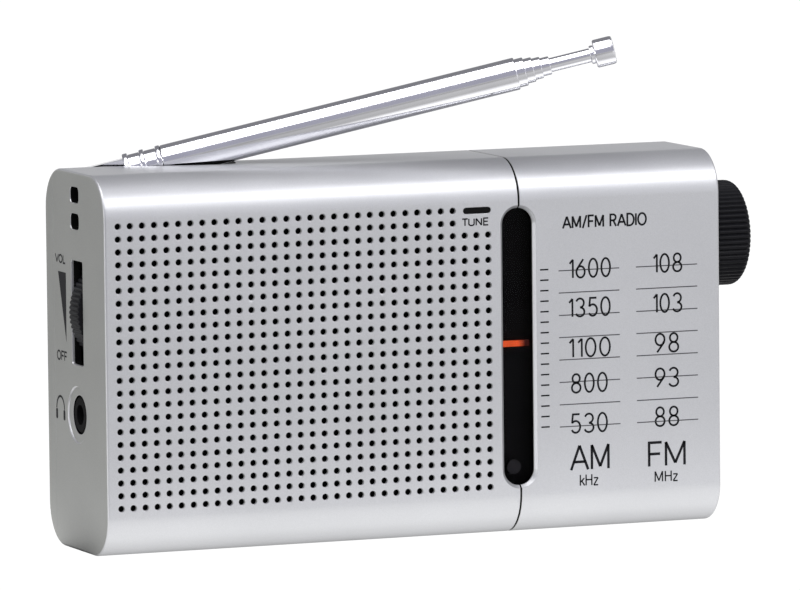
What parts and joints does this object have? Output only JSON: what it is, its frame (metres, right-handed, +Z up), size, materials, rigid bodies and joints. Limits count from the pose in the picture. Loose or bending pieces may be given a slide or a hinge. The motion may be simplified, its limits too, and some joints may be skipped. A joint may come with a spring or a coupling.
{
  "type": "transistor pocket radio",
  "caption": "Pocket radio: silver two-piece front with a perforated grille and a dial window, side tuning knob, volume thumbwheel and telescopic antenna.",
  "frame": {"origin": "centre of the case's bottom face, on the surface it stands on", "axes": "+X to the right along the front, +Y from the front to the back, +Z up"},
  "size_m": [0.1298, 0.039, 0.0908],
  "materials": {
    "case_paint": "satin metallic silver paint on plastic",
    "knob_black": "satin black plastic",
    "inner_black": "black plastic",
    "window_clear": "glossy smoked window",
    "pointer_orange": "orange plastic",
    "white_plastic": "natural white plastic",
    "antenna_chrome": "polished chrome plate",
    "zinc_steel": "zinc plated steel",
    "nickel_contact": "nickel plated spring steel",
    "board_green": "green solder mask on laminate",
    "black_resin": "moulded black resin",
    "can_sleeve": "shrink sleeve on aluminium can",
    "ceramic_yellow": "dipped ceramic",
    "ferrite": "ground ferrite",
    "copper_wire": "enamelled copper wire",
    "cone_paper": "pressed black paper",
    "cloth_black": "thin woven cloth",
    "foam_gasket": "foam rubber",
    "magnet_ferrite": "sintered ferrite",
    "cord_nylon": "braided nylon cord",
    "cell_wrap": null,
    "lead_red": "PVC insulated lead"
  },
  "bodies": {
    "case": {"band_switch": "zinc_steel", "battery_cells": "cell_wrap", "battery_contacts": "nickel_contact", "capacitor_bracket": "zinc_steel", "case_screws": "zinc_steel", "ceramic_filters": "ceramic_yellow", "dial_back_plate": "inner_black", "dial_cord": "cord_nylon", "dial_housing": "case_paint", "dial_lens": "window_clear", "earphone_jack": "inner_black", "electrolytic_capacitors": "can_sleeve", "ferrite_coil": "copper_wire", "ferrite_holders": "white_plastic", "ferrite_rod": "ferrite", "grille_cloth": "cloth_black", "inner_screws": "zinc_steel", "lamp_light_guide": "inner_black", "main_board": "board_green", "pointer_rail": "zinc_steel", "pulley_pin": "zinc_steel", "radio_chip": "black_resin", "rear_cover": "case_paint", "resistors": "ceramic_yellow", "signal_contacts": "nickel_contact", "speaker_frame": "zinc_steel", "speaker_gasket": "foam_gasket", "speaker_housing": "case_paint", "speaker_leads": "lead_red", "speaker_magnet": "magnet_ferrite", "speaker_plates": "zinc_steel", "speaker_terminals": "board_green", "tuned_coils": "zinc_steel", "tuning_capacitor": "white_plastic", "tuning_lamp": "white_plastic", "volume_pot": "inner_black"},
    "tuning": {"tuning_knob": "knob_black", "knob_screw": "zinc_steel", "tuning_drum": "white_plastic", "capacitor_rotor": "nickel_contact"},
    "pointer": {"pointer_carriage": "inner_black", "dial_pointer": "pointer_orange"},
    "pulley": {"cord_pulley": "white_plastic"},
    "volume": {"volume_wheel": "knob_black", "volume_screw": "zinc_steel"},
    "band": {"band_lever": "inner_black", "band_slider": "knob_black"},
    "door": {"battery_door": "case_paint"},
    "cone": {"speaker_cone": "cone_paper", "speaker_dust_cap": "cone_paper"},
    "swivel": {"antenna_yoke": "antenna_chrome", "antenna_pin": "zinc_steel"},
    "antenna_1": {"antenna_base": "antenna_chrome", "antenna_tube_1": "antenna_chrome"},
    "antenna_2": {"antenna_tube_2": "antenna_chrome"},
    "antenna_3": {"antenna_tube_3": "antenna_chrome"},
    "antenna_4": {"antenna_tube_4": "antenna_chrome"},
    "antenna_5": {"antenna_tube_5": "antenna_chrome"},
    "antenna_6": {"antenna_rod": "antenna_chrome", "antenna_tip": "antenna_chrome"}
  },
  "joints": [
    {"name": "tuning_turn", "type": "hinge", "parent": "case", "child": "tuning", "pos_m": [0.0545, 0, 0.0519], "axis": [1, 0, 0], "range_deg": [-81.1, 98.9]},
    {"name": "pointer_slide", "type": "slide", "parent": "case", "child": "pointer", "axis": [0, 0, 1], "range_m": [-0.01585, 0.013]},
    {"name": "pulley_turn", "type": "hinge", "parent": "case", "child": "pulley", "pos_m": [0.0545, -0.00665, 0.007], "axis": [1, 0, 0], "range_deg": [-297.5, 362.5]},
    {"name": "volume_turn", "type": "hinge", "parent": "case", "child": "volume", "pos_m": [-0.05015, 0, 0.0431], "axis": [0, 1, 0], "range_deg": [-150, 150]},
    {"name": "band_slide", "type": "slide", "parent": "case", "child": "band", "axis": [1, 0, 0], "range_m": [0, 0.004]},
    {"name": "door_slide", "type": "slide", "parent": "case", "child": "door", "axis": [1, 0, 0], "range_m": [0, 0.05]},
    {"name": "cone_travel", "type": "slide", "parent": "case", "child": "cone", "axis": [0, 1, 0], "range_m": [-0.0003, 0.0003], "stiffness_N_per_m": 400},
    {"name": "antenna_swivel", "type": "hinge", "parent": "case", "child": "swivel", "pos_m": [-0.0525, 0.0122, 0.0658], "axis": [0, 0, 1], "range_deg": [0, 110]},
    {"name": "antenna_tilt", "type": "hinge", "parent": "swivel", "child": "antenna_1", "pos_m": [-0.0525, 0.0122, 0.0658], "axis": [-0.3502, -0.9367, 0], "range_deg": [0, 76.7]},
    {"name": "antenna_slide_2", "type": "slide", "parent": "antenna_1", "child": "antenna_2", "axis": [0.9115, -0.3408, 0.23], "range_m": [0, 0.057]},
    {"name": "antenna_slide_3", "type": "slide", "parent": "antenna_2", "child": "antenna_3", "axis": [0.9115, -0.3408, 0.23], "range_m": [0, 0.057]},
    {"name": "antenna_slide_4", "type": "slide", "parent": "antenna_3", "child": "antenna_4", "axis": [0.9115, -0.3408, 0.23], "range_m": [0, 0.057]},
    {"name": "antenna_slide_5", "type": "slide", "parent": "antenna_4", "child": "antenna_5", "axis": [0.9115, -0.3408, 0.23], "range_m": [0, 0.057]},
    {"name": "antenna_slide_6", "type": "slide", "parent": "antenna_5", "child": "antenna_6", "axis": [0.9115, -0.3408, 0.23], "range_m": [0, 0.057]}
  ],
  "couplings": [
    {"joint": "pointer_slide", "follows": "tuning_turn", "m_per_rad": -0.00915},
    {"joint": "pulley_turn", "follows": "tuning_turn", "ratio": 3.66}
  ]
}
